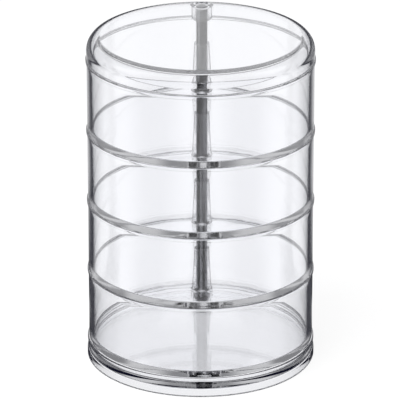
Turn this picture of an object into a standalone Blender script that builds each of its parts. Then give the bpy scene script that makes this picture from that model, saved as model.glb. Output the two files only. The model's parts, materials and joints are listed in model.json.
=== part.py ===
"""Rotating jewelry box: four round clear trays stacked on a shallow base, under a shallow lid.

One steel rod stands near the back of the base. Every tray has a sleeve that runs on the rod, and
the lid has a socket on the rod's top end, so each of them swivels out sideways on its own.
Units are metres, +Z is up, the front is -Y, and the origin is the middle of the base's underside,
level with the foot of its skirt.
"""

import math

import bpy

# Clearances between the pieces
STACK_GAP = 0.0003
RUNNING_GAP = 0.0003
CUTTER_OVERRUN = 0.001

# Trays, all alike
TRAY_COUNT = 4
TRAY_RADIUS = 0.0695
TRAY_HEIGHT = 0.0454
TRAY_WALL = 0.0030
TRAY_FLOOR = 0.0030
TRAY_CORNER_RADIUS = 0.0020
TRAY_FOOT_RADIUS = 0.0004
TRAY_BEAD_HEIGHT = 0.0020
TRAY_BEAD_PROUD = 0.00065
RIM_CHAMFER = 0.0004

# Tray sleeves, moulded with the floor and tapered to leave the mould
SLEEVE_TOP = 0.0314
SLEEVE_TOP_WALL = 0.0009
SLEEVE_ROOT_WALL = 0.0025
SLEEVE_ROOT_FILLET = 0.0008
SLEEVE_TO_TRAY_WALL = 0.0011

# Lid
LID_PROUD = 0.0002
LID_HEIGHT = 0.0136
LID_WALL = 0.0030
LID_TOP = 0.0030
LID_EDGE_RADIUS = 0.0090
LID_SOCKET_WALL = 0.0026
LID_SOCKET_SETBACK = 0.0009
LID_SOCKET_ROUNDING = 0.0018
LID_SOCKET_FILLET = 0.0010
LID_SOCKET_OVERLAP = 0.0004
LID_SOCKET_ROOF = 0.0017

# Base: its floor is raised on a skirt that spreads a little, and is hollow underneath
BASE_HEIGHT = 0.0123
BASE_WALL = 0.0030
BASE_FLOOR = 0.0038
BASE_HOLLOW_HEIGHT = 0.0044
BASE_HOLLOW_ROUNDING = 0.0010
BASE_CORNER_RADIUS = 0.0015
BASE_BEAD_HEIGHT = 0.0026
BASE_BEAD_PROUD = 0.0009
BASE_SKIRT_HEIGHT = 0.0040
BASE_SKIRT_PROUD = 0.0011
BASE_SKIRT_WALL = 0.0030
BASE_SKIRT_ROUNDING = 0.0003
BASE_SPREAD_TOP = 0.0084
BASE_BOSS_WALL = 0.0032
BASE_BOSS_LEDGE = 0.0020

# Rod, and the screw and washer that hold it from below
ROD_RADIUS = 0.0035
ROD_CHAMFER = 0.0005
SCREW_HEAD_RADIUS = 0.0038
SCREW_HEAD_HEIGHT = 0.0020
SCREW_HEAD_ROUNDING = 0.0006
SCREW_SHANK_RADIUS = 0.0020
SCREW_TIP_CHAMFER = 0.0006
SCREW_ENGAGEMENT = 0.0100
SCREW_SLOT_LENGTH = 0.0042
SCREW_SLOT_WIDTH = 0.0009
SCREW_SLOT_DEPTH = 0.0011
TAPPED_HOLE_SPARE = 0.0012
WASHER_RADIUS = 0.0047
WASHER_THICKNESS = 0.0010

# Fineness of the round shapes
STACK_SIDES = 48
ROD_SIDES = 24
CORNER_STEPS = 3
BEAD_STEPS = 4
LID_EDGE_STEPS = 5
MERGE_DISTANCE = 0.00001
SHARP_ANGLE = math.radians(35)

# Colours and finishes of the clear plastic and the steel
PLASTIC_COLOUR = (0.93, 0.935, 0.955, 1.0)
PLASTIC_ROUGHNESS = 0.03
PLASTIC_IOR = 1.49
ROD_COLOUR = (0.56, 0.56, 0.57, 1.0)
FASTENER_COLOUR = (0.40, 0.40, 0.42, 1.0)
STEEL_ROUGHNESS = 0.32

# Places worked out from the sizes above
BORE_RADIUS = ROD_RADIUS + RUNNING_GAP
SLEEVE_ROOT_RADIUS = BORE_RADIUS + SLEEVE_ROOT_WALL
SLEEVE_TOP_RADIUS = BORE_RADIUS + SLEEVE_TOP_WALL
ROD_OFFSET = TRAY_RADIUS - TRAY_WALL - SLEEVE_TO_TRAY_WALL - SLEEVE_ROOT_RADIUS
TRAY_PITCH = TRAY_HEIGHT + STACK_GAP
FIRST_TRAY_LEVEL = BASE_HEIGHT + STACK_GAP
LID_LEVEL = FIRST_TRAY_LEVEL + TRAY_COUNT * TRAY_PITCH
LID_RADIUS = TRAY_RADIUS + LID_PROUD
WASHER_LEVEL = BASE_HOLLOW_HEIGHT - RUNNING_GAP - WASHER_THICKNESS
SCREW_LEVEL = WASHER_LEVEL - RUNNING_GAP - SCREW_HEAD_HEIGHT
LEDGE_LEVEL = BASE_HOLLOW_HEIGHT + BASE_BOSS_LEDGE
ROD_FOOT_LEVEL = LEDGE_LEVEL + RUNNING_GAP
ROD_TOP_LEVEL = LID_LEVEL + LID_HEIGHT - LID_TOP - LID_SOCKET_ROOF - RUNNING_GAP


def clear_scene():
    for obj in list(bpy.data.objects):
        bpy.data.objects.remove(obj, do_unlink=True)


def collection(name):
    made = bpy.data.collections.new(name)
    bpy.context.scene.collection.children.link(made)
    return made


def clear_plastic(name):
    """Colourless moulded plastic, polished."""
    material = bpy.data.materials.new(name)
    material.use_nodes = True
    shader = material.node_tree.nodes["Principled BSDF"]
    shader.inputs["Base Color"].default_value = PLASTIC_COLOUR
    shader.inputs["Roughness"].default_value = PLASTIC_ROUGHNESS
    shader.inputs["IOR"].default_value = PLASTIC_IOR
    shader.inputs["Transmission Weight"].default_value = 1.0
    return material


def steel(name, colour):
    material = bpy.data.materials.new(name)
    material.use_nodes = True
    shader = material.node_tree.nodes["Principled BSDF"]
    shader.inputs["Base Color"].default_value = colour
    shader.inputs["Metallic"].default_value = 1.0
    shader.inputs["Roughness"].default_value = STEEL_ROUGHNESS
    return material


def arc(centre, across, up, start, end, steps):
    """Points of an elliptical arc from the start angle to the end angle, in degrees."""
    points = []
    for step in range(steps + 1):
        angle = math.radians(start + (end - start) * step / steps)
        points.append((centre[0] + across * math.cos(angle), centre[1] + up * math.sin(angle)))
    return points


def turned(name, outline, sides, home, closed=False):
    """A solid of revolution. The outline's points are (radius, height), down the outer side."""
    mesh = bpy.data.meshes.new(name)
    points = [(radius, 0, height) for radius, height in outline]
    edges = [(index, index + 1) for index in range(len(points) - 1)]
    if closed:
        edges.append((len(points) - 1, 0))
    mesh.from_pydata(points, edges, [])
    obj = bpy.data.objects.new(name, mesh)
    home.objects.link(obj)
    screw = obj.modifiers.new("turn", "SCREW")
    screw.axis = "Z"
    screw.steps = sides
    screw.render_steps = sides
    screw.use_merge_vertices = True
    screw.merge_threshold = MERGE_DISTANCE
    return obj


def helper(obj):
    """Marks a shape that only adds to or cuts another."""
    obj.hide_render = True
    obj.display_type = "WIRE"
    return obj


def combine(target, operation, other):
    modifier = target.modifiers.new(other.name, "BOOLEAN")
    modifier.operation = operation
    modifier.solver = "EXACT"
    modifier.object = other


def finish(obj, material):
    """Makes the modifiers' result the object's own mesh, with its round faces shaded smooth."""
    bpy.context.view_layer.update()
    graph = bpy.context.evaluated_depsgraph_get()
    mesh = bpy.data.meshes.new_from_object(obj.evaluated_get(graph))
    obj.modifiers.clear()
    obj.data = mesh
    mesh.name = obj.name
    mesh.shade_smooth()
    mesh.set_sharp_from_angle(angle=SHARP_ANGLE)
    mesh.materials.clear()
    mesh.materials.append(material)


def inner_side(height, wall, floor_level, corner):
    """The inside of a round dish, from the middle of its floor out and up to its rim."""
    inner = TRAY_RADIUS - wall
    outline = [(0, floor_level)]
    outline += arc((inner - corner, floor_level + corner), corner, corner, -90, 0, CORNER_STEPS)
    outline += [(inner, height - RIM_CHAMFER), (inner + RIM_CHAMFER, height)]
    return outline


def bead(top, height, proud):
    """A half-round bead round the outside of a rim, from its top edge down."""
    return arc((TRAY_RADIUS, top - height / 2), proud, height / 2, 90, -90, BEAD_STEPS)


def on_rod_axis(obj, level):
    """Puts a piece's origin on the rod's axis at this height."""
    obj.location = (0, ROD_OFFSET, level)


def make_tray(name, level, parts, helpers):
    """A one-piece moulded dish whose sleeve, near its back wall, runs on the rod."""
    sleeve_fillet = arc(
        (SLEEVE_ROOT_RADIUS + SLEEVE_ROOT_FILLET, TRAY_FLOOR + SLEEVE_ROOT_FILLET),
        SLEEVE_ROOT_FILLET,
        SLEEVE_ROOT_FILLET,
        180,
        270,
        CORNER_STEPS,
    )
    sleeve_foot = SLEEVE_ROOT_RADIUS + SLEEVE_ROOT_FILLET
    sleeve_outline = [(0, SLEEVE_TOP), (SLEEVE_TOP_RADIUS, SLEEVE_TOP)]
    sleeve_outline += sleeve_fillet + [(sleeve_foot, TRAY_FLOOR / 2), (0, TRAY_FLOOR / 2)]
    tray = turned(name, sleeve_outline, ROD_SIDES, parts)
    on_rod_axis(tray, level)

    outline = inner_side(TRAY_HEIGHT, TRAY_WALL, TRAY_FLOOR, TRAY_CORNER_RADIUS)
    outline += bead(TRAY_HEIGHT, TRAY_BEAD_HEIGHT, TRAY_BEAD_PROUD)
    foot_centre = (TRAY_RADIUS - TRAY_FOOT_RADIUS, TRAY_FOOT_RADIUS)
    outline += arc(foot_centre, TRAY_FOOT_RADIUS, TRAY_FOOT_RADIUS, 0, -90, CORNER_STEPS)
    outline.append((0, 0))
    dish = helper(turned(name + "_dish", outline, STACK_SIDES, helpers))
    dish.location.z = level
    combine(tray, "UNION", dish)

    bore_outline = [
        (0, SLEEVE_TOP + CUTTER_OVERRUN),
        (BORE_RADIUS, SLEEVE_TOP + CUTTER_OVERRUN),
        (BORE_RADIUS, -CUTTER_OVERRUN),
        (0, -CUTTER_OVERRUN),
    ]
    bore = helper(turned(name + "_bore", bore_outline, ROD_SIDES, helpers))
    on_rod_axis(bore, level)
    combine(tray, "DIFFERENCE", bore)
    finish(tray, clear_plastic(name + "_clear_plastic"))
    return tray


def make_lid(parts, helpers):
    """A shallow dished cover with a rounded edge and a blind socket for the rod's top end."""
    socket_radius = BORE_RADIUS + LID_SOCKET_WALL
    inner_top = LID_HEIGHT - LID_TOP
    fillet_centre = (socket_radius + LID_SOCKET_FILLET, inner_top - LID_SOCKET_FILLET)
    socket_top = inner_top + LID_SOCKET_OVERLAP
    socket_outline = [(0, socket_top), (fillet_centre[0], socket_top)]
    socket_outline += arc(
        fillet_centre, LID_SOCKET_FILLET, LID_SOCKET_FILLET, 90, 180, CORNER_STEPS
    )
    rounding_centre = (
        socket_radius - LID_SOCKET_ROUNDING,
        LID_SOCKET_SETBACK + LID_SOCKET_ROUNDING,
    )
    socket_outline += arc(
        rounding_centre, LID_SOCKET_ROUNDING, LID_SOCKET_ROUNDING, 0, -90, CORNER_STEPS
    )
    socket_outline.append((0, LID_SOCKET_SETBACK))
    lid = turned("lid", socket_outline, ROD_SIDES, parts)
    on_rod_axis(lid, LID_LEVEL)

    inner_radius = LID_RADIUS - LID_WALL
    inner_edge = LID_EDGE_RADIUS - LID_WALL
    edge_centre = (LID_RADIUS - LID_EDGE_RADIUS, LID_HEIGHT - LID_EDGE_RADIUS)
    outline = [(0, LID_HEIGHT)]
    outline += arc(edge_centre, LID_EDGE_RADIUS, LID_EDGE_RADIUS, 90, 0, LID_EDGE_STEPS)
    outline += [(LID_RADIUS, RIM_CHAMFER), (LID_RADIUS - RIM_CHAMFER, 0)]
    outline += [(inner_radius + RIM_CHAMFER, 0), (inner_radius, RIM_CHAMFER)]
    inner_centre = (inner_radius - inner_edge, inner_top - inner_edge)
    outline += arc(inner_centre, inner_edge, inner_edge, 0, 90, CORNER_STEPS)
    outline.append((0, inner_top))
    cover = helper(turned("lid_cover", outline, STACK_SIDES, helpers))
    cover.location.z = LID_LEVEL
    combine(lid, "UNION", cover)

    socket_depth = ROD_TOP_LEVEL + RUNNING_GAP - LID_LEVEL
    bore_outline = [
        (0, socket_depth),
        (BORE_RADIUS, socket_depth),
        (BORE_RADIUS, -CUTTER_OVERRUN),
        (0, -CUTTER_OVERRUN),
    ]
    bore = helper(turned("lid_bore", bore_outline, ROD_SIDES, helpers))
    on_rod_axis(bore, LID_LEVEL)
    combine(lid, "DIFFERENCE", bore)
    finish(lid, clear_plastic("lid_clear_plastic"))
    return lid


def make_base(parts, helpers):
    """A shallow dish on a hollow skirt, with a rim bead and a boss that the rod stands in."""
    floor_level = BASE_HOLLOW_HEIGHT + BASE_FLOOR
    skirt_radius = TRAY_RADIUS + BASE_SKIRT_PROUD
    hollow_radius = skirt_radius - BASE_SKIRT_WALL
    rounding = (BASE_SKIRT_ROUNDING, BASE_SKIRT_ROUNDING)
    outline = inner_side(BASE_HEIGHT, BASE_WALL, floor_level, BASE_CORNER_RADIUS)
    outline += bead(BASE_HEIGHT, BASE_BEAD_HEIGHT, BASE_BEAD_PROUD)
    outline += [(TRAY_RADIUS, BASE_SPREAD_TOP), (skirt_radius, BASE_SKIRT_HEIGHT)]
    outer_centre = (skirt_radius - BASE_SKIRT_ROUNDING, BASE_SKIRT_ROUNDING)
    outline += arc(outer_centre, *rounding, 0, -90, CORNER_STEPS)
    inner_centre = (hollow_radius + BASE_SKIRT_ROUNDING, BASE_SKIRT_ROUNDING)
    outline += arc(inner_centre, *rounding, -90, -180, CORNER_STEPS)
    roof_centre = (hollow_radius - BASE_HOLLOW_ROUNDING, BASE_HOLLOW_HEIGHT - BASE_HOLLOW_ROUNDING)
    outline += arc(
        roof_centre, BASE_HOLLOW_ROUNDING, BASE_HOLLOW_ROUNDING, 0, 90, CORNER_STEPS
    )
    outline.append((0, BASE_HOLLOW_HEIGHT))
    base = turned("base", outline, STACK_SIDES, parts)

    boss_radius = BORE_RADIUS + BASE_BOSS_WALL
    boss_foot = BASE_HOLLOW_HEIGHT + BASE_FLOOR / 2
    boss_outline = [
        (0, BASE_HEIGHT),
        (boss_radius - RIM_CHAMFER, BASE_HEIGHT),
        (boss_radius, BASE_HEIGHT - RIM_CHAMFER),
        (boss_radius, boss_foot),
        (0, boss_foot),
    ]
    boss = helper(turned("base_boss", boss_outline, ROD_SIDES, helpers))
    on_rod_axis(boss, 0)
    combine(base, "UNION", boss)

    screw_hole_radius = SCREW_SHANK_RADIUS + RUNNING_GAP
    hole_outline = [
        (0, BASE_HEIGHT + CUTTER_OVERRUN),
        (BORE_RADIUS, BASE_HEIGHT + CUTTER_OVERRUN),
        (BORE_RADIUS, LEDGE_LEVEL),
        (screw_hole_radius, LEDGE_LEVEL),
        (screw_hole_radius, -CUTTER_OVERRUN),
        (0, -CUTTER_OVERRUN),
    ]
    hole = helper(turned("base_hole", hole_outline, ROD_SIDES, helpers))
    on_rod_axis(hole, 0)
    combine(base, "DIFFERENCE", hole)
    finish(base, clear_plastic("base_clear_plastic"))


def make_rod(parts):
    """A ground steel rod, chamfered at both ends and tapped at the foot for the screw."""
    hole_radius = SCREW_SHANK_RADIUS + RUNNING_GAP
    hole_top = LEDGE_LEVEL + SCREW_ENGAGEMENT + TAPPED_HOLE_SPARE
    outline = [
        (0, ROD_TOP_LEVEL),
        (ROD_RADIUS - ROD_CHAMFER, ROD_TOP_LEVEL),
        (ROD_RADIUS, ROD_TOP_LEVEL - ROD_CHAMFER),
        (ROD_RADIUS, ROD_FOOT_LEVEL + ROD_CHAMFER),
        (ROD_RADIUS - ROD_CHAMFER, ROD_FOOT_LEVEL),
        (hole_radius, ROD_FOOT_LEVEL),
        (hole_radius, hole_top),
        (0, hole_top),
    ]
    rod = turned("rod", outline, ROD_SIDES, parts)
    on_rod_axis(rod, 0)
    finish(rod, steel("rod_steel", ROD_COLOUR))
    return rod


def make_washer(parts):
    """The flat washer between the screw's head and the underside of the base's floor."""
    hole_radius = SCREW_SHANK_RADIUS + RUNNING_GAP
    outline = [
        (hole_radius, WASHER_THICKNESS),
        (WASHER_RADIUS, WASHER_THICKNESS),
        (WASHER_RADIUS, 0),
        (hole_radius, 0),
    ]
    washer = turned("base_washer", outline, ROD_SIDES, parts, closed=True)
    on_rod_axis(washer, WASHER_LEVEL)
    finish(washer, steel("washer_steel", FASTENER_COLOUR))
    return washer


def make_screw(parts, helpers):
    """The pan-head screw that pulls the rod down on the boss's ledge, with a cross slot."""
    shank_top = LEDGE_LEVEL + SCREW_ENGAGEMENT - SCREW_LEVEL
    edge_centre = (SCREW_HEAD_RADIUS - SCREW_HEAD_ROUNDING, SCREW_HEAD_ROUNDING)
    outline = [
        (0, shank_top),
        (SCREW_SHANK_RADIUS - SCREW_TIP_CHAMFER, shank_top),
        (SCREW_SHANK_RADIUS, shank_top - SCREW_TIP_CHAMFER),
        (SCREW_SHANK_RADIUS, SCREW_HEAD_HEIGHT),
        (SCREW_HEAD_RADIUS, SCREW_HEAD_HEIGHT),
    ]
    outline += arc(
        edge_centre, SCREW_HEAD_ROUNDING, SCREW_HEAD_ROUNDING, 0, -90, CORNER_STEPS
    )
    outline.append((0, 0))
    screw = turned("base_screw", outline, ROD_SIDES, parts)
    on_rod_axis(screw, SCREW_LEVEL)
    for index, size in enumerate(
        ((SCREW_SLOT_LENGTH, SCREW_SLOT_WIDTH), (SCREW_SLOT_WIDTH, SCREW_SLOT_LENGTH))
    ):
        bpy.ops.mesh.primitive_cube_add(size=1)
        slot = helper(bpy.context.object)
        slot.name = f"screw_slot_{index + 1}"
        for owner in list(slot.users_collection):
            owner.objects.unlink(slot)
        helpers.objects.link(slot)
        slot.scale = (size[0], size[1], 2 * SCREW_SLOT_DEPTH)
        on_rod_axis(slot, SCREW_LEVEL)
        combine(screw, "DIFFERENCE", slot)
    finish(screw, steel("screw_steel", FASTENER_COLOUR))
    return screw


def swivels_on(pivot, obj):
    """Hangs a piece on the rod's axis, about which it turns, without moving it."""
    obj.parent = pivot
    obj.location = obj.location - pivot.location


clear_scene()
box_parts = collection("rotating_jewelry_box")
shaping = collection("shaping_helpers")
make_base(box_parts, shaping)
fixed_pieces = [make_rod(box_parts), make_washer(box_parts), make_screw(box_parts, shaping)]
swivelling_pieces = [make_lid(box_parts, shaping)]
for number in range(1, TRAY_COUNT + 1):
    tray_level = LID_LEVEL - number * TRAY_PITCH
    swivelling_pieces.append(make_tray(f"tray_{number}", tray_level, box_parts, shaping))
rod_axis = bpy.data.objects.new("rod_axis", None)
rod_axis.location = (0, ROD_OFFSET, 0)
box_parts.objects.link(rod_axis)
for piece in fixed_pieces + swivelling_pieces:
    swivels_on(rod_axis, piece)
for shape in list(shaping.objects):
    bpy.data.objects.remove(shape, do_unlink=True)
bpy.data.collections.remove(shaping)
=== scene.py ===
import json
import math

import bmesh
import bpy
from mathutils import Matrix, Vector


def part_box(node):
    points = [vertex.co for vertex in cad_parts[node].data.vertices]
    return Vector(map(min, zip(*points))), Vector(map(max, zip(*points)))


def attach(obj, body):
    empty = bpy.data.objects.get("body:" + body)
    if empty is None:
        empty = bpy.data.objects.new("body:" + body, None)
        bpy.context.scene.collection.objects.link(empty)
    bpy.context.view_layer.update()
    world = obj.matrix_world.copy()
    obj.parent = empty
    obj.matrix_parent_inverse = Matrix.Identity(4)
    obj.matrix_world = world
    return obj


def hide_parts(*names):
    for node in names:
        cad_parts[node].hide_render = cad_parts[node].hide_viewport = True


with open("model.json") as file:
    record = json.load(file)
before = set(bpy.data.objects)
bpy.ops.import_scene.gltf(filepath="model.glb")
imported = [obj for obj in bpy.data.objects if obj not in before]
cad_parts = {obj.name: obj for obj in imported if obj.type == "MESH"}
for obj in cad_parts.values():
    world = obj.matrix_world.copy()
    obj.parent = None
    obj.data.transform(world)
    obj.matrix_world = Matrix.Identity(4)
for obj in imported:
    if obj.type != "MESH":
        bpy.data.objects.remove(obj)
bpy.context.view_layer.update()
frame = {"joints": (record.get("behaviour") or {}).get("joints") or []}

scene = bpy.context.scene

# The view. The camera stands in front of the box, a hair to the right, and looks down on it a
# little. It is far enough off that the upright walls stay nearly parallel.
PICTURE_WIDTH = 400
PICTURE_FOCUS = 4006.8
SENSOR_WIDTH = 36.0
CAMERA_DISTANCE = 2.4718
LOOKING_DOWN = math.radians(22.0)
FROM_THE_RIGHT = math.radians(0.7)
LOOKED_AT = Vector((-0.0004, 0, 0.10123))
camera_data = bpy.data.cameras.new("camera")
camera_data.sensor_width = SENSOR_WIDTH
camera_data.lens = PICTURE_FOCUS / PICTURE_WIDTH * SENSOR_WIDTH
camera = bpy.data.objects.new("camera", camera_data)
backwards = Vector((0, -math.cos(LOOKING_DOWN), math.sin(LOOKING_DOWN)))
backwards.rotate(Matrix.Rotation(FROM_THE_RIGHT, 3, "Z"))
camera.location = LOOKED_AT + backwards * CAMERA_DISTANCE
camera.rotation_euler = backwards.to_track_quat("Z", "Y").to_euler()
scene.collection.objects.link(camera)
scene.camera = camera
scene.view_settings.view_transform = "Standard"

# The table that the box stands on: one wide white sheet, part matt paint, which takes the shadow of the
# box, and part painted glow.
# The glow is plain white to the camera, and holds painted shade in places for what the clear plastic has
# turned aside, as in a studio with dark sides. A pair of numbers is where a change begins and where it
# ends.
TABLE_SIZE = 12.0
TABLE_WHITE = (0.9, 0.9, 0.9, 1)
PAINT_SHARE = 0.15
PAINT_SHARE_INSIDE = 0.04
PLAIN_WHITE = (1, 1, 1, 1)
COOL_WHITE = (0.980, 0.984, 1.0, 1)
COOL_SHADE = (0.0025, 0.003, 0.013, 1)
ASIDE = (0.14, 0.30)
LENGTHWISE = (3.5, 6.5)
LANE_HALF_WIDTH = 0.067
ON_THE_LINE = 0.0001
CORNER_WIDEST = 0.6
CORNER_WIDENS = 1.8
BESIDE_LANES = (0.05, 0.35)
BESIDE_BOX = (0.15, 0.20)
DARKEST = 0.96
SLAB_PALE_FROM = (0.08, 0.24)
SLAB_PALE_TO = (0.42, 0.60)
THROUGH_MORE = (2.5, 3.5)
THROUGH_MORE_SHADES = (0.20, 0.92)
FLOOR_SLAB_SHADES = (0.46, 0.42)
MIDDLE_STRIP = (0.030, 0.045)
THROUGH_ONCE = (0.5, 1.5)
NEAR_DARK = (0.28, 0.36)
UNDER_BOX = (0.08, 0.10)
FAR_DARK = (0.60, 0.90)
FAR_OFF = (1.1, 2.0)
FAR_SHADE = 0.65


class Socket:
    """An output of a shader node. Arithmetic on it adds the Math nodes that work it out."""

    def __init__(self, shading, output):
        self.shading = shading
        self.output = output

    def __add__(self, other):
        return self.shading.maths("ADD", self, other)

    def __radd__(self, other):
        return self.shading.maths("ADD", other, self)

    def __sub__(self, other):
        return self.shading.maths("SUBTRACT", self, other)

    def __rsub__(self, other):
        return self.shading.maths("SUBTRACT", other, self)

    def __mul__(self, other):
        return self.shading.maths("MULTIPLY", self, other)

    def __rmul__(self, other):
        return self.shading.maths("MULTIPLY", other, self)

    def __truediv__(self, other):
        return self.shading.maths("DIVIDE", self, other)

    def __rtruediv__(self, other):
        return self.shading.maths("DIVIDE", other, self)

    def __abs__(self):
        return self.shading.maths("ABSOLUTE", self)

    def at_least(self, other):
        return self.shading.maths("MAXIMUM", self, other)

    def at_most(self, other):
        return self.shading.maths("MINIMUM", self, other)


class Shading:
    """The node tree of a material or of the room."""

    def __init__(self, owner):
        owner.use_nodes = True
        self.tree = owner.node_tree
        self.tree.nodes.clear()

    def node(self, kind, settings=None, sockets=None, output=0):
        made = self.tree.nodes.new(kind)
        for name, value in (settings or {}).items():
            setattr(made, name, value)
        for name, value in (sockets or {}).items():
            if isinstance(value, Socket):
                self.tree.links.new(value.output, made.inputs[name])
            else:
                made.inputs[name].default_value = value
        return Socket(self, made.outputs[output]) if made.outputs else None

    def maths(self, operation, *values):
        return self.node("ShaderNodeMath", {"operation": operation}, dict(enumerate(values)))

    def eased(self, value, low, high):
        """0 below the low value, 1 above the high one, and a smooth change between them."""
        settings = {"interpolation_type": "SMOOTHSTEP"}
        return self.node("ShaderNodeMapRange", settings, {0: value, 1: low, 2: high})

    def mixed(self, share, first, second):
        """The first colour where the share is 0, and the second where it is 1."""
        colours = {0: share, 6: first, 7: second}
        return self.node("ShaderNodeMix", {"data_type": "RGBA"}, colours, output=2)

    def along(self, vector, side):
        return self.node("ShaderNodeSeparateXYZ", sockets={0: vector}, output=side)

    def length(self, vector):
        return self.node("ShaderNodeVectorMath", {"operation": "LENGTH"}, {0: vector}, output="Value")


def bent_path(shading):
    """Whether the plastic has bent a ray, how often it mirrored it and let it through, and
    whether it mirrored it so often that the ray has turned aside."""
    glossy = shading.node("ShaderNodeLightPath", output="Is Glossy Ray")
    passing = shading.node("ShaderNodeLightPath", output="Is Transmission Ray")
    bent = (glossy + passing).at_most(1.0)
    mirrored = shading.node("ShaderNodeLightPath", output="Glossy Depth")
    let_through = shading.node("ShaderNodeLightPath", output="Transmission Depth")
    aside = shading.eased(mirrored / (mirrored + let_through).at_least(1.0), *ASIDE)
    return bent, mirrored, let_through, aside


def glow_colour(shading, place, slab_shades, dark_place, low, under_box=0.0):
    """The colour of the white glow that a ray finds at a place.

    Four lanes as wide as the box lead away from it. To a ray turned aside, the corners between
    them are dark, and so are the dark places and the ground under the box, but one that has come
    lengthwise through a slab finds the slab shades. Whatever lies low is dim to each bent ray."""
    bent, mirrored, let_through, aside = bent_path(shading)
    out_x = abs(shading.along(place, "X"))
    out_y = abs(shading.along(place, "Y"))
    across_x = (out_x - LANE_HALF_WIDTH) / out_y.at_least(ON_THE_LINE)
    across_y = (out_y - LANE_HALF_WIDTH) / out_x.at_least(ON_THE_LINE)
    least = across_x.at_most(across_y)
    most = across_x.at_least(across_y)
    reach = shading.length(place)
    corner = shading.eased(least / (reach * CORNER_WIDENS).at_most(CORNER_WIDEST), 0.0, 1.0)
    beside = shading.eased(most, *BESIDE_LANES) * (1.0 - shading.eased(reach, *BESIDE_BOX))
    dark = corner.at_least(beside).at_least(dark_place) * DARKEST
    lane_slab, corner_slab = slab_shades
    aslant = shading.eased(least, *SLAB_PALE_FROM)
    between = aslant - shading.eased(least, *SLAB_PALE_TO)
    slab = lane_slab - between * (lane_slab - corner_slab)
    straight, slanting = THROUGH_MORE_SHADES
    deep_slab = straight + aslant * (slanting - straight)
    slab = slab + shading.eased(let_through, *THROUGH_MORE) * (deep_slab - slab)
    lengthwise = shading.eased(mirrored, *LENGTHWISE)
    shade = dark * (1.0 - lengthwise) + slab * lengthwise
    shade = shade.at_least(under_box) * aside
    shade = shade.at_least(low * bent)
    glow = shading.mixed(shade, COOL_WHITE, COOL_SHADE)
    from_camera = shading.node("ShaderNodeLightPath", output="Is Camera Ray")
    return shading.mixed(from_camera, glow, PLAIN_WHITE)


sheet = bmesh.new()
bmesh.ops.create_grid(sheet, x_segments=1, y_segments=1, size=TABLE_SIZE / 2)
table_mesh = bpy.data.meshes.new("table")
sheet.to_mesh(table_mesh)
sheet.free()
table = bpy.data.objects.new("table", table_mesh)
scene.collection.objects.link(table)
table_paint = bpy.data.materials.new("matt_white_and_painted_glow")
shading = Shading(table_paint)
place = shading.node("ShaderNodeTexCoord", output="Object")
reach = shading.length(place)
off_middle = abs(shading.along(place, "X")).at_most(abs(shading.along(place, "Y")))
bent, _, let_through, aside = bent_path(shading)
# Painted shade in the table's glow for rays that the plastic bent: a dark strip through the middle near
# the box, far places, and the ground under the box.
middle =1.0 - shading.eased(off_middle, *MIDDLE_STRIP)
middle = middle * shading.eased(let_through, *THROUGH_ONCE)
near = 1.0 - shading.eased(reach, *NEAR_DARK)
dark_place = (middle * near).at_least(shading.eased(reach, *FAR_DARK))
low = shading.eased(reach, *FAR_OFF) * FAR_SHADE
under_box = 1.0 - shading.eased(reach, *UNDER_BOX)
glow = glow_colour(shading, place, FLOOR_SLAB_SHADES, dark_place, low, under_box)
from_camera = shading.node("ShaderNodeLightPath", output="Is Camera Ray")
paint_share = 1.0 - from_camera * (1.0 - PAINT_SHARE)
paint_share = paint_share - bent * (1.0 - PAINT_SHARE_INSIDE * (1.0 - aside))
matt = shading.node("ShaderNodeBsdfDiffuse", sockets={"Color": TABLE_WHITE})
glowing = shading.node("ShaderNodeEmission", sockets={"Color": glow})
both = shading.node("ShaderNodeMixShader", sockets={0: paint_share, 1: glowing, 2: matt})
shading.node("ShaderNodeOutputMaterial", sockets={"Surface": both})
table_mesh.materials.append(table_paint)

# The room: white all round, and dim along the foot of its walls for what the plastic bends.
# A large round lamp to the left and in front gives the soft shadow. Light may pass many walls.
SKYLINE = (0.285, 0.325)
SKYLINE_SHADE = 0.7
SKY_SLAB_SHADES = (0.74, 0.42)
LAMP_WIDTH = 1.2
LAMP_POWER = 30
LAMP_PLACE = (-0.5, -0.6, 1.6)
room = bpy.data.worlds.new("room")
scene.world = room
shading = Shading(room)
direction = shading.node("ShaderNodeTexCoord", output="Generated")
low = 1.0 - shading.eased(shading.along(direction, "Z"), *SKYLINE)
glow = glow_colour(shading, direction, SKY_SLAB_SHADES, low, low * SKYLINE_SHADE)
sky = shading.node("ShaderNodeBackground", sockets={"Color": glow})
shading.node("ShaderNodeOutputWorld", sockets={"Surface": sky})
lamp_data = bpy.data.lights.new("ceiling_lamp", "AREA")
lamp_data.shape = "DISK"
lamp_data.size = LAMP_WIDTH
lamp_data.energy = LAMP_POWER
lamp = bpy.data.objects.new("ceiling_lamp", lamp_data)
lamp.location = LAMP_PLACE
lamp.rotation_euler = Vector(LAMP_PLACE).to_track_quat("Z", "Y").to_euler()
lamp.visible_glossy = False
lamp.visible_transmission = False
scene.collection.objects.link(lamp)
scene.cycles.max_bounces = 128
scene.cycles.transmission_bounces = 48
scene.cycles.glossy_bounces = 96
scene.cycles.caustics_refractive = True
scene.cycles.caustics_reflective = True

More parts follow.
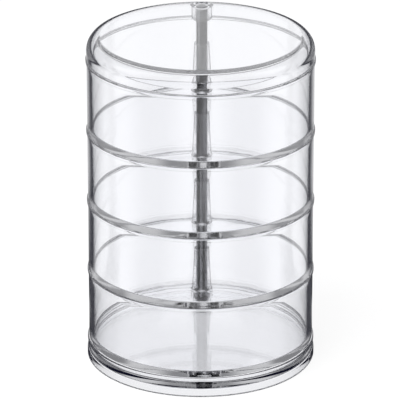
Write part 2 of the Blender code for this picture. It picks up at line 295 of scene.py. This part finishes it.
# Base: one clear moulding, a shallow dish raised on a hollow skirt. A round boss near the back
# holds the foot of the rod, pressed in, and a beaded rim carries the lowest tray.
FINE_TURN = 384
SMALL_TURN = 96
SAME_PLACE = 2e-5
DOUBLED = 1e-6
CRISP_CORNER = math.radians(35)
SHADED_BY_SIZE = 100
RUNNING_GAP = 0.0003
PRESSED_IN = 0.00005
BASE_WALL = 0.0030
BASE_FLOOR_LEVELS = (0.0044, 0.0082)
BASE_CORNER = 0.0015
BASE_BEAD_PROUD = 0.0009
BASE_BEAD_HEIGHT = 0.0026
BASE_BEAD_TOP_ROUND = 0.0009
BASE_BEAD_FOOT_ROUND = 0.0008
BASE_BEAD_STEPS = 6
BASE_SPREAD_TOP = 0.0084
BASE_SKIRT_HEIGHT = 0.0040
BASE_SKIRT_PROUD = 0.0011
BASE_SKIRT_ROUND = 0.0003
BASE_HOLLOW_ROUND = 0.0010
BOSS_RADIUS = 0.0070
LEDGE_LEVEL = 0.0064
SCREW_HOLE_RADIUS = 0.0023
RIM_ROUND = 0.0004
RIM_STEPS = 4
PLASTIC_IOR = 1.49
PLASTIC_TINT = (0.989, 0.991, 1.0, 1)
# Painted shade: the near-black colour that the plastic takes where it turns edge-on, for dark outlines.
PAINTED_EDGE_SHADE = (0.08, 0.08, 0.09, 1)
PLASTIC_EDGE = (0.80, 0.97)
TUBE_EDGE = (0.40, 0.80)
TUBE_REACH = (0.0085, 0.0090)
TUBE_SLOPE = (0.3, 0.6)
BASE_SWELL = 0.00004
SWELL_SCALE = 26.0
SWELL_DETAIL = 1.0
FILL_RINGS = 520.0
FILL_RINGS_DRIFT = 9.0
FILL_RINGS_SHARE = 0.03
SCUFF_SIZE = (0.09, 0.0009, 0.0009)
SCUFF_TURN = (0.4, 0.7, 0.3)
SCUFF_DETAIL = 2.0
SCUFFED = (0.72, 0.80)
BORE_FADE = (0.0001, 0.0002)
POLISHED_ROUGHNESS = 0.003
SCUFF_ROUGHNESS = 0.05
BORE_ROUGHNESS = 0.2


def turned(outline, sides):
    """A closed solid turned about Z from corner points of (radius, height), axis to axis."""
    solid = bmesh.new()
    corners = [solid.verts.new((radius, 0, height)) for radius, height in outline]
    for upper, lower in zip(corners, corners[1:]):
        solid.edges.new((upper, lower))
    profile = solid.verts[:] + solid.edges[:]
    bmesh.ops.spin(solid, geom=profile, axis=(0, 0, 1), angle=math.tau, steps=sides, use_merge=True)
    bmesh.ops.remove_doubles(solid, verts=solid.verts[:], dist=DOUBLED)
    bmesh.ops.recalc_face_normals(solid, faces=solid.faces[:])
    return solid


def round_over(solid, corner, by, steps):
    """Rounds the circular edge that a turned solid has at this corner of its outline."""
    corner = Vector(corner)
    ring = []
    for edge in solid.edges:
        first, second = [Vector((math.hypot(*end.co.xy), end.co.z)) for end in edge.verts]
        if (first - corner).length < SAME_PLACE and (second - corner).length < SAME_PLACE:
            ring.append(edge)
    bmesh.ops.bevel(
        solid, geom=ring, offset=by, offset_type="OFFSET", segments=steps, profile=0.5,
        affect="EDGES", clamp_overlap=False, material=-1,
    )


def shaped(name, solid, axis=(0, 0), level=0.0):
    """Makes an object of a solid, moved to this axis and level."""
    bmesh.ops.translate(solid, vec=(*axis, level), verts=solid.verts[:])
    mesh = bpy.data.meshes.new(name)
    solid.to_mesh(mesh)
    solid.free()
    piece = bpy.data.objects.new(name, mesh)
    scene.collection.objects.link(piece)
    return piece


def moulded(piece, operation, other):
    """Adds another solid to a piece, or cuts it away."""
    step = piece.modifiers.new(operation, "BOOLEAN")
    step.operation = operation
    step.solver = "EXACT"
    step.object = other
    bpy.context.view_layer.update()
    graph = bpy.context.evaluated_depsgraph_get()
    mesh = bpy.data.meshes.new_from_object(piece.evaluated_get(graph))
    piece.modifiers.clear()
    piece.data = mesh
    bpy.data.objects.remove(other)


def polished(piece, material):
    """Gives a piece its material and smooth round faces, with its corners kept crisp."""
    piece.data.materials.clear()
    piece.data.materials.append(material)
    piece.data.shade_smooth()
    piece.data.set_sharp_from_angle(angle=CRISP_CORNER)
    even = piece.modifiers.new("even_shading", "WEIGHTED_NORMAL")
    even.keep_sharp = True
    even.weight = SHADED_BY_SIZE


def from_axis(shading, place, axis=(0, 0)):
    """How far a place on a piece lies from an upright axis."""
    flat = {"Vector": place, "Location": (-axis[0], -axis[1], 0), "Scale": (1, 1, 0)}
    return shading.length(shading.node("ShaderNodeMapping", sockets=flat))


def cloudy(shading, place, scale, detail):
    return shading.node("ShaderNodeTexNoise", sockets={"Vector": place, "Scale": scale, "Detail": detail})


def clear_plastic(name, swell):
    """Polished clear plastic. It sinks and swells faintly where it cooled, in rings round the
    middle where the mould was filled, and has a few hair scuffs. The rod has rubbed its bore.
    Its colour is painted dark where it turns edge-on, as painted shade for dark outlines, and sooner on
    the slim tubes on the rod."""
    material = bpy.data.materials.new(name)
    shading = Shading(material)
    place = shading.node("ShaderNodeTexCoord", output="Object")
    drift = cloudy(shading, place, SWELL_SCALE, SWELL_DETAIL)
    rings = shading.maths("SINE", from_axis(shading, place) * FILL_RINGS + drift * FILL_RINGS_DRIFT)
    height = drift + rings * FILL_RINGS_SHARE
    bump = shading.node("ShaderNodeBump", sockets={"Distance": swell, "Height": height})
    drawn_out = {"Vector": place, "Rotation": SCUFF_TURN, "Scale": SCUFF_SIZE}
    drawn_out = shading.node("ShaderNodeMapping", {"vector_type": "TEXTURE"}, drawn_out)
    scuffs = shading.eased(cloudy(shading, drawn_out, 1.0, SCUFF_DETAIL), *SCUFFED)
    off_rod = from_axis(shading, place, ROD_AXIS)
    at_bearing = 1.0 - shading.eased(off_rod, BORE_RADIUS + BORE_FADE[0], BORE_RADIUS + BORE_FADE[1])
    facing = shading.node("ShaderNodeNewGeometry", output="Normal")
    upright = 1.0 - shading.eased(abs(shading.along(facing, "Z")), *TUBE_SLOPE)
    tube = upright * (1.0 - shading.eased(off_rod, *TUBE_REACH))
    # Painted shade: the colour turns dark near the silhouettes, and sooner on the slim tubes round the
    # rod, to draw dark outlines.
    turning_away = shading.node("ShaderNodeLayerWeight", sockets={"Blend": 0.5}, output="Facing")
    edge = shading.eased(turning_away, *PLASTIC_EDGE)
    edge = edge.at_least(tube * shading.eased(turning_away, *TUBE_EDGE))
    plastic = shading.node(
        "ShaderNodeBsdfPrincipled",
        sockets={
            "Base Color": shading.mixed(edge, PLASTIC_TINT, PAINTED_EDGE_SHADE),
            "Roughness": POLISHED_ROUGHNESS + scuffs * SCUFF_ROUGHNESS + at_bearing * BORE_ROUGHNESS,
            "IOR": PLASTIC_IOR,
            "Transmission Weight": 1.0,
            "Normal": bump,
        },
    )
    shading.node("ShaderNodeOutputMaterial", sockets={"Surface": plastic})
    return material


rod_joint = next(joint for joint in frame["joints"] if joint["name"] == "lid_swivel")
ROD_AXIS = (rod_joint["pos_m"][0], rod_joint["pos_m"][1])
ROD_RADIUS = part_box("rod")[1].x
BORE_RADIUS = ROD_RADIUS + RUNNING_GAP
base_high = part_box("base")[1]
skirt_radius = base_high.x
rim_radius = skirt_radius - BASE_SKIRT_PROUD
rim_inside = rim_radius - BASE_WALL
hollow_radius = skirt_radius - BASE_WALL
floor_under, floor_top = BASE_FLOOR_LEVELS
rim_top = base_high.z
bead_radius = rim_radius + BASE_BEAD_PROUD
bead_foot = rim_top - BASE_BEAD_HEIGHT
dish = turned(
    [
        (0, floor_top), (rim_inside, floor_top), (rim_inside, rim_top), (bead_radius, rim_top),
        (bead_radius, bead_foot), (rim_radius, bead_foot), (rim_radius, BASE_SPREAD_TOP),
        (skirt_radius, BASE_SKIRT_HEIGHT), (skirt_radius, 0), (hollow_radius, 0),
        (hollow_radius, floor_under), (0, floor_under),
    ],
    FINE_TURN,
)
round_over(dish, (rim_inside, floor_top), BASE_CORNER, BASE_BEAD_STEPS)
round_over(dish, (rim_inside, rim_top), RIM_ROUND, RIM_STEPS)
round_over(dish, (bead_radius, rim_top), BASE_BEAD_TOP_ROUND, BASE_BEAD_STEPS)
round_over(dish, (bead_radius, bead_foot), BASE_BEAD_FOOT_ROUND, BASE_BEAD_STEPS)
round_over(dish, (skirt_radius, BASE_SKIRT_HEIGHT), BASE_BEAD_FOOT_ROUND, RIM_STEPS)
round_over(dish, (skirt_radius, 0), BASE_SKIRT_ROUND, RIM_STEPS)
round_over(dish, (hollow_radius, 0), BASE_SKIRT_ROUND, RIM_STEPS)
round_over(dish, (hollow_radius, floor_under), BASE_HOLLOW_ROUND, RIM_STEPS)
base = shaped("base_clear", dish)
boss_foot = (floor_under + floor_top) / 2
boss = turned([(0, rim_top), (BOSS_RADIUS, rim_top), (BOSS_RADIUS, boss_foot), (0, boss_foot)], SMALL_TURN)
round_over(boss, (BOSS_RADIUS, rim_top), RIM_ROUND, RIM_STEPS)
moulded(base, "UNION", shaped("boss", boss, ROD_AXIS))
over = rim_top + BASE_WALL
foot_bore = ROD_RADIUS - PRESSED_IN
hole = turned(
    [
        (0, over), (foot_bore, over), (foot_bore, LEDGE_LEVEL),
        (SCREW_HOLE_RADIUS, LEDGE_LEVEL), (SCREW_HOLE_RADIUS, 0), (0, 0),
    ],
    SMALL_TURN,
)
moulded(base, "DIFFERENCE", shaped("hole", hole, ROD_AXIS))
polished(base, clear_plastic("clear_base_plastic", BASE_SWELL))
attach(base, "base")
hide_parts("base")

# Washer and screw: turned steel, dulled in the making. The washer bears on the underside of the
# base's floor, and the pan-head screw goes up through it into the tapped foot of the rod.
WASHER_ROUND = 0.0002
SHANK_RADIUS = 0.0020
SHANK_POINT = 0.0006
HEAD_HEIGHT = 0.0020
HEAD_ROUND = 0.0008
HEAD_STEPS = 6
SLOT_LONG = 0.0042
SLOT_WIDE = 0.0009
SLOT_DEEP = 0.0011
CHAMFER_STEPS = 1
DARK_STEEL = (0.24, 0.24, 0.25, 1)
PALE_STEEL = (0.36, 0.36, 0.38, 1)
DULLED_SCALE = 700.0
DULLED_DETAIL = 4.0
LATHE_LINES = 42000.0
LATHE_WANDER = 3.0
LATHE_BUMP = 0.5
STEEL_BUMP_HEIGHT = 0.00001
TURNED_ROUGHNESS = 0.26
DULLED_ROUGHNESS = 0.2


def turned_steel(name):
    """Dull steel with the fine rings that a lathe leaves round the rod's axis."""
    material = bpy.data.materials.new(name)
    shading = Shading(material)
    place = shading.node("ShaderNodeTexCoord", output="Object")
    dulled = cloudy(shading, place, DULLED_SCALE, DULLED_DETAIL)
    off_rod = from_axis(shading, place, ROD_AXIS)
    rings = shading.maths("SINE", off_rod * LATHE_LINES + dulled * LATHE_WANDER)
    ridges = {"Strength": LATHE_BUMP, "Distance": STEEL_BUMP_HEIGHT, "Height": rings + dulled}
    metal = shading.node(
        "ShaderNodeBsdfPrincipled",
        sockets={
            "Base Color": shading.mixed(dulled, DARK_STEEL, PALE_STEEL),
            "Metallic": 1.0,
            "Roughness": TURNED_ROUGHNESS + dulled * DULLED_ROUGHNESS,
            "Normal": shading.node("ShaderNodeBump", sockets=ridges),
        },
    )
    shading.node("ShaderNodeOutputMaterial", sockets={"Surface": metal})
    return material


fastener_steel = turned_steel("turned_fastener_steel")
washer_low, washer_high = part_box("base_washer")
washer_radius = washer_high.x
washer_top = washer_high.z - washer_low.z
disc = turned([(0, washer_top), (washer_radius, washer_top), (washer_radius, 0), (0, 0)], SMALL_TURN)
round_over(disc, (washer_radius, washer_top), WASHER_ROUND, RIM_STEPS)
round_over(disc, (washer_radius, 0), WASHER_ROUND, RIM_STEPS)
washer = shaped("washer_steel", disc, ROD_AXIS, washer_low.z)
over = washer_high.z + washer_top
punch = turned([(0, over), (SCREW_HOLE_RADIUS, over), (SCREW_HOLE_RADIUS, 0), (0, 0)], SMALL_TURN)
moulded(washer, "DIFFERENCE", shaped("punch", punch, ROD_AXIS))
polished(washer, fastener_steel)
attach(washer, "base")
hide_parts("base_washer")
screw_low, screw_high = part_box("base_screw")
head_radius = screw_high.x
shank_top = screw_high.z - screw_low.z
pin = turned(
    [
        (0, shank_top), (SHANK_RADIUS, shank_top), (SHANK_RADIUS, HEAD_HEIGHT),
        (head_radius, HEAD_HEIGHT), (head_radius, 0), (0, 0),
    ],
    SMALL_TURN,
)
round_over(pin, (SHANK_RADIUS, shank_top), SHANK_POINT, CHAMFER_STEPS)
round_over(pin, (head_radius, HEAD_HEIGHT), WASHER_ROUND, RIM_STEPS)
round_over(pin, (head_radius, 0), HEAD_ROUND, HEAD_STEPS)
screw = shaped("screw_steel", pin, ROD_AXIS, screw_low.z)
for turn in (0, math.pi / 2):
    slot = bmesh.new()
    bmesh.ops.create_cube(slot, size=1)
    bmesh.ops.scale(slot, vec=(SLOT_LONG, SLOT_WIDE, 2 * SLOT_DEEP), verts=slot.verts[:])
    bmesh.ops.rotate(slot, matrix=Matrix.Rotation(turn, 3, "Z"), verts=slot.verts[:])
    moulded(screw, "DIFFERENCE", shaped("slot", slot, ROD_AXIS, screw_low.z))
polished(screw, fastener_steel)
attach(screw, "base")
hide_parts("base_screw")

# Rod: one straight steel bar, drawn to size and chamfered at both ends. It stands in the base's boss, and
# every tray and the lid turn on it.
# Its colour has drawing marks along it that are also painted reflection streaks, and a painted highlight
# ring of bright steel where each tray bears.
ROD_CHAMFER = 0.0005
TAPPING_DEPTH = 0.0112
# Drawing marks that are also painted reflection streaks: the near-black and pale steel of the bands along
# the rod.
DRAWN_MARK_AND_STREAK_SHADE = (0.002, 0.002, 0.003, 1)
DRAWN_MARK_AND_STREAK_SHEEN = (0.20, 0.20, 0.21, 1)
STREAKS_SCALE = (480, 480, 6)
STREAKS_DETAIL = 1.0
STREAKED = (0.47, 0.57)
STREAKS_BUMP = 0.4
HANDLED_SCALE = 60.0
HANDLED_DETAIL = 3.0
DRAWN_ROUGHNESS = 0.10
STREAKS_ROUGHNESS = 0.06
HANDLED_ROUGHNESS = 0.04
# Painted highlight: the bright steel of a ring at each tray's level.
RING_PAINTED_HIGHLIGHT = (0.88, 0.88, 0.89, 1)
RING_HEIGHT = 0.0030
RING_FADE = 0.0004
rod_low, rod_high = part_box("rod")
bar = turned(
    [(0, rod_high.z), (ROD_RADIUS, rod_high.z), (ROD_RADIUS, rod_low.z), (0, rod_low.z)], SMALL_TURN
)
round_over(bar, (ROD_RADIUS, rod_high.z), ROD_CHAMFER, CHAMFER_STEPS)
round_over(bar, (ROD_RADIUS, rod_low.z), ROD_CHAMFER, CHAMFER_STEPS)
rod = shaped("rod_bar", bar, ROD_AXIS)
tapping_end = LEDGE_LEVEL + TAPPING_DEPTH
tapping = turned(
    [(0, tapping_end), (SCREW_HOLE_RADIUS, tapping_end), (SCREW_HOLE_RADIUS, 0), (0, 0)], SMALL_TURN
)
moulded(rod, "DIFFERENCE", shaped("tapping", tapping, ROD_AXIS))
rod_finish = bpy.data.materials.new("drawn_rod_steel")
shading = Shading(rod_finish)
place = shading.node("ShaderNodeTexCoord", output="Object")
lengthwise = shading.node("ShaderNodeMapping", sockets={"Vector": place, "Scale": STREAKS_SCALE})
streaks = shading.eased(cloudy(shading, lengthwise, 1.0, STREAKS_DETAIL), *STREAKED)
handled = cloudy(shading, place, HANDLED_SCALE, HANDLED_DETAIL)
# Drawing marks along the rod, which also serve as painted reflection streaks of dark and pale steel.
drawn_marks_and_reflection_streaks = shading.mixed(streaks, DRAWN_MARK_AND_STREAK_SHADE, DRAWN_MARK_AND_STREAK_SHEEN)
height = shading.along(place, "Z")
ring_half = RING_HEIGHT / 2
# Painted highlight: a ring of bright steel where each tray bears, to lighten what is seen through the
# trays' floors.
at_bearing = 0.0
for number in (1, 2, 3, 4):
    from_ring = abs(height - (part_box(f"tray_{number}")[0].z + ring_half))
    at_bearing = at_bearing + (1.0 - shading.eased(from_ring, ring_half, ring_half + RING_FADE))
ridges = {"Strength": STREAKS_BUMP, "Distance": STEEL_BUMP_HEIGHT, "Height": streaks}
metal = shading.node(
    "ShaderNodeBsdfPrincipled",
    sockets={
        "Base Color": shading.mixed(at_bearing, drawn_marks_and_reflection_streaks, RING_PAINTED_HIGHLIGHT),
        "Metallic": 1.0,
        "Roughness": DRAWN_ROUGHNESS + streaks * STREAKS_ROUGHNESS + handled * HANDLED_ROUGHNESS,
        "Normal": shading.node("ShaderNodeBump", sockets=ridges),
    },
)
shading.node("ShaderNodeOutputMaterial", sockets={"Surface": metal})
polished(rod, rod_finish)
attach(rod, "base")
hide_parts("rod")

# Trays: four alike, each moulded in one piece of clear plastic with a beaded rim. A tapered
# sleeve stands on the floor near the back wall and runs on the rod, so the tray swings aside.
TRAY_WALL = 0.0030
TRAY_FLOOR = 0.0030
TRAY_CORNER = 0.0012
TRAY_CORNER_STEPS = 8
TRAY_RIM_ROUND = 0.0008
TRAY_RIM_STEPS = 6
TRAY_BEAD_PROUD = 0.00065
TRAY_BEAD_HEIGHT = 0.0020
TRAY_BEAD_TOP_ROUND = 0.0006
TRAY_BEAD_FOOT_ROUND = 0.0005
TRAY_BEAD_STEPS = 5
TRAY_FLARE_PROUD = 0.00014
TRAY_FLARE_HEIGHT = 0.0048
TRAY_SWELL = 0.00005
SLEEVE_TOP = 0.0314
SLEEVE_TOP_WALL = 0.0009
SLEEVE_ROOT_WALL = 0.0025
SLEEVE_FILLET = 0.0008
FILLET_SHARE = 0.9
tray_low, tray_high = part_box("tray_4")
bead_radius = tray_high.x
tray_radius = bead_radius - TRAY_BEAD_PROUD
tray_top = tray_high.z - tray_low.z
tray_inside = tray_radius - TRAY_WALL
bead_foot = tray_top - TRAY_BEAD_HEIGHT
dish = turned(
    [
        (0, TRAY_FLOOR), (tray_inside, TRAY_FLOOR), (tray_inside, tray_top),
        (bead_radius, tray_top), (bead_radius, bead_foot),
        (tray_radius + TRAY_FLARE_PROUD, bead_foot), (tray_radius, tray_top - TRAY_FLARE_HEIGHT),
        (tray_radius, 0), (0, 0),
    ],
    FINE_TURN,
)
round_over(dish, (tray_inside, TRAY_FLOOR), TRAY_CORNER, TRAY_CORNER_STEPS)
round_over(dish, (tray_inside, tray_top), TRAY_RIM_ROUND, TRAY_RIM_STEPS)
round_over(dish, (bead_radius, tray_top), TRAY_BEAD_TOP_ROUND, TRAY_BEAD_STEPS)
round_over(dish, (bead_radius, bead_foot), TRAY_BEAD_FOOT_ROUND, TRAY_BEAD_STEPS)
round_over(dish, (tray_radius, 0), RIM_ROUND, RIM_STEPS)
tray = shaped("tray", dish)
root_radius = BORE_RADIUS + SLEEVE_ROOT_WALL
sleeve_radius = BORE_RADIUS + SLEEVE_TOP_WALL
flange_radius = root_radius + SLEEVE_FILLET
tube = turned(
    [
        (0, SLEEVE_TOP), (sleeve_radius, SLEEVE_TOP), (root_radius, TRAY_FLOOR),
        (flange_radius, TRAY_FLOOR), (flange_radius, TRAY_FLOOR / 2), (0, TRAY_FLOOR / 2),
    ],
    SMALL_TURN,
)
round_over(tube, (sleeve_radius, SLEEVE_TOP), RUNNING_GAP, RIM_STEPS)
round_over(tube, (root_radius, TRAY_FLOOR), SLEEVE_FILLET * FILLET_SHARE, TRAY_BEAD_STEPS)
moulded(tray, "UNION", shaped("sleeve", tube, ROD_AXIS))
over = SLEEVE_TOP + TRAY_WALL
bore = turned(
    [(0, over), (BORE_RADIUS, over), (BORE_RADIUS, -TRAY_WALL), (0, -TRAY_WALL)], SMALL_TURN
)
moulded(tray, "DIFFERENCE", shaped("bore", bore, ROD_AXIS))
tray_mesh = tray.data
bpy.data.objects.remove(tray)
tray_plastic = clear_plastic("clear_tray_plastic", TRAY_SWELL)
for number in (1, 2, 3, 4):
    name = f"tray_{number}"
    placed = tray_mesh.copy()
    placed.transform(Matrix.Translation((0, 0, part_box(name)[0].z)))
    tray = bpy.data.objects.new(name + "_clear", placed)
    scene.collection.objects.link(tray)
    polished(tray, tray_plastic)
    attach(tray, name)
    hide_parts(name)

# Lid: a shallow clear cover with a broad rounded edge, moulded in one piece. A blind socket under
# it sits over the rod's top end, so the lid swings aside like the trays.
LID_WALL = 0.0030
LID_EDGE_ROUND = 0.0090
LID_EDGE_STEPS = 24
LID_INNER_ROUND = 0.0051
LID_INNER_STEPS = 18
LID_SWELL = 0.00004
SOCKET_RADIUS = 0.0064
SOCKET_SETBACK = 0.0009
SOCKET_ROUND = 0.0018
SOCKET_STEPS = 8
SOCKET_FILLET = 0.0010
SOCKET_FILLET_STEPS = 6
SOCKET_OVERLAP = 0.0004
lid_low, lid_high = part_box("lid")
lid_radius = lid_high.x
lid_top = lid_high.z - lid_low.z
lid_inside = lid_radius - LID_WALL
lid_ceiling = lid_top - LID_WALL
cover = turned(
    [
        (0, lid_top), (lid_radius, lid_top), (lid_radius, 0), (lid_inside, 0),
        (lid_inside, lid_ceiling), (0, lid_ceiling),
    ],
    FINE_TURN,
)
round_over(cover, (lid_radius, lid_top), LID_EDGE_ROUND, LID_EDGE_STEPS)
round_over(cover, (lid_radius, 0), RIM_ROUND, RIM_STEPS)
round_over(cover, (lid_inside, 0), RIM_ROUND, RIM_STEPS)
round_over(cover, (lid_inside, lid_ceiling), LID_INNER_ROUND, LID_INNER_STEPS)
lid = shaped("lid_clear", cover, level=lid_low.z)
flange_radius = SOCKET_RADIUS + SOCKET_FILLET
flange_top = lid_ceiling + SOCKET_OVERLAP
plug = turned(
    [
        (0, flange_top), (flange_radius, flange_top), (flange_radius, lid_ceiling),
        (SOCKET_RADIUS, lid_ceiling), (SOCKET_RADIUS, SOCKET_SETBACK), (0, SOCKET_SETBACK),
    ],
    SMALL_TURN,
)
round_over(plug, (SOCKET_RADIUS, lid_ceiling), SOCKET_FILLET * FILLET_SHARE, SOCKET_FILLET_STEPS)
round_over(plug, (SOCKET_RADIUS, SOCKET_SETBACK), SOCKET_ROUND, SOCKET_STEPS)
moulded(lid, "UNION", shaped("plug", plug, ROD_AXIS, lid_low.z))
socket_end = rod_high.z + RUNNING_GAP
under = lid_low.z - LID_WALL
blind = turned(
    [(0, socket_end), (BORE_RADIUS, socket_end), (BORE_RADIUS, under), (0, under)], SMALL_TURN
)
moulded(lid, "DIFFERENCE", shaped("blind", blind, ROD_AXIS))
polished(lid, clear_plastic("clear_lid_plastic", LID_SWELL))
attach(lid, "lid")
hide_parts("lid")
